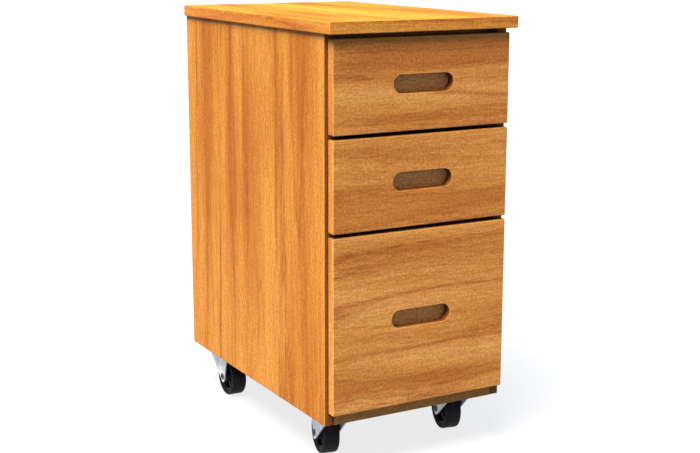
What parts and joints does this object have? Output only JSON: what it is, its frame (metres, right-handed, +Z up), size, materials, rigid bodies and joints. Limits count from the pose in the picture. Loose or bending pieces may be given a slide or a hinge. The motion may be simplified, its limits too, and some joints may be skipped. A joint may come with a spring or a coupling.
{
  "type": "rolling pedestal cabinet",
  "caption": "Wooden under-desk pedestal on swivel casters, with shallow drawers over a file drawer and slotted finger pulls.",
  "frame": {"origin": "on the floor under the middle of the top", "axes": "+Z up, drawers open toward -Y, +X to the right seen from the front"},
  "size_m": [0.359, 0.582, 0.7555],
  "materials": {
    "wood": "satin lacquer",
    "plywood": "satin lacquer",
    "zinc": "bright zinc plated",
    "slide_steel": "zinc plated",
    "black_rubber": "matte",
    "black_plastic": "matte"
  },
  "bodies": {
    "cabinet": {"top_panel": "wood", "left_side_panel": "wood", "right_side_panel": "wood", "bottom_panel": "wood", "back_panel": "wood", "front_rail": "wood", "back_rail": "wood", "case_dowels": "plywood", "case_screws": "zinc", "back_screws": "zinc", "caster_screws": "zinc", "upper_slide_outers": "slide_steel", "middle_slide_outers": "slide_steel", "lower_slide_outers": "slide_steel", "front_left_caster_plate": "zinc", "front_right_caster_plate": "zinc", "rear_left_caster_plate": "zinc", "rear_right_caster_plate": "zinc"},
    "upper_drawer": {"upper_front": "wood", "upper_box_front": "plywood", "upper_box_sides": "plywood", "upper_box_back": "plywood", "upper_box_bottom": "plywood", "upper_screws": "zinc", "upper_slide_inners": "slide_steel"},
    "upper_slide_middle": {"upper_slide_middles": "slide_steel"},
    "middle_drawer": {"middle_front": "wood", "middle_box_front": "plywood", "middle_box_sides": "plywood", "middle_box_back": "plywood", "middle_box_bottom": "plywood", "middle_screws": "zinc", "middle_slide_inners": "slide_steel"},
    "middle_slide_middle": {"middle_slide_middles": "slide_steel"},
    "lower_drawer": {"lower_front": "wood", "lower_box_front": "plywood", "lower_box_sides": "plywood", "lower_box_back": "plywood", "lower_box_bottom": "plywood", "lower_screws": "zinc", "lower_slide_inners": "slide_steel", "lower_file_bars": "zinc"},
    "lower_slide_middle": {"lower_slide_middles": "slide_steel"},
    "front_left_fork": {"front_left_caster_fork": "zinc", "front_left_caster_axle": "slide_steel"},
    "front_left_wheel": {"front_left_caster_hub": "black_plastic", "front_left_caster_tyre": "black_rubber"},
    "front_right_fork": {"front_right_caster_fork": "zinc", "front_right_caster_axle": "slide_steel"},
    "front_right_wheel": {"front_right_caster_hub": "black_plastic", "front_right_caster_tyre": "black_rubber"},
    "rear_left_fork": {"rear_left_caster_fork": "zinc", "rear_left_caster_axle": "slide_steel"},
    "rear_left_wheel": {"rear_left_caster_hub": "black_plastic", "rear_left_caster_tyre": "black_rubber"},
    "rear_right_fork": {"rear_right_caster_fork": "zinc", "rear_right_caster_axle": "slide_steel"},
    "rear_right_wheel": {"rear_right_caster_hub": "black_plastic", "rear_right_caster_tyre": "black_rubber"}
  },
  "joints": [
    {"name": "upper_drawer_slide", "type": "slide", "parent": "cabinet", "child": "upper_drawer", "axis": [0, -1, 0], "range_m": [0, 0.48]},
    {"name": "upper_slide_middle_travel", "type": "slide", "parent": "cabinet", "child": "upper_slide_middle", "axis": [0, -1, 0], "range_m": [0, 0.24]},
    {"name": "middle_drawer_slide", "type": "slide", "parent": "cabinet", "child": "middle_drawer", "axis": [0, -1, 0], "range_m": [0, 0.48]},
    {"name": "middle_slide_middle_travel", "type": "slide", "parent": "cabinet", "child": "middle_slide_middle", "axis": [0, -1, 0], "range_m": [0, 0.24]},
    {"name": "lower_drawer_slide", "type": "slide", "parent": "cabinet", "child": "lower_drawer", "axis": [0, -1, 0], "range_m": [0, 0.48]},
    {"name": "lower_slide_middle_travel", "type": "slide", "parent": "cabinet", "child": "lower_slide_middle", "axis": [0, -1, 0], "range_m": [0, 0.24]},
    {"name": "front_left_caster_swivel", "type": "hinge", "parent": "cabinet", "child": "front_left_fork", "pos_m": [-0.126, -0.192, 0.0795], "axis": [0, 0, 1], "continuous": true},
    {"name": "front_left_wheel_spin", "type": "hinge", "parent": "front_left_fork", "child": "front_left_wheel", "pos_m": [-0.12166, -0.16738, 0.0375], "axis": [0.9848, -0.1736, 0], "continuous": true},
    {"name": "front_right_caster_swivel", "type": "hinge", "parent": "cabinet", "child": "front_right_fork", "pos_m": [0.126, -0.192, 0.0795], "axis": [0, 0, 1], "continuous": true},
    {"name": "front_right_wheel_spin", "type": "hinge", "parent": "front_right_fork", "child": "front_right_wheel", "pos_m": [0.13034, -0.16738, 0.0375], "axis": [0.9848, -0.1736, 0], "continuous": true},
    {"name": "rear_left_caster_swivel", "type": "hinge", "parent": "cabinet", "child": "rear_left_fork", "pos_m": [-0.1355, 0.219, 0.0795], "axis": [0, 0, 1], "continuous": true},
    {"name": "rear_left_wheel_spin", "type": "hinge", "parent": "rear_left_fork", "child": "rear_left_wheel", "pos_m": [-0.13594, 0.194, 0.0375], "axis": [-0.9998, 0.0175, 0], "continuous": true},
    {"name": "rear_right_caster_swivel", "type": "hinge", "parent": "cabinet", "child": "rear_right_fork", "pos_m": [0.1355, 0.219, 0.0795], "axis": [0, 0, 1], "continuous": true},
    {"name": "rear_right_wheel_spin", "type": "hinge", "parent": "rear_right_fork", "child": "rear_right_wheel", "pos_m": [0.13506, 0.194, 0.0375], "axis": [-0.9998, 0.0175, 0], "continuous": true}
  ],
  "couplings": [
    {"joint": "upper_slide_middle_travel", "follows": "upper_drawer_slide", "ratio": 0.5},
    {"joint": "middle_slide_middle_travel", "follows": "middle_drawer_slide", "ratio": 0.5},
    {"joint": "lower_slide_middle_travel", "follows": "lower_drawer_slide", "ratio": 0.5}
  ]
}
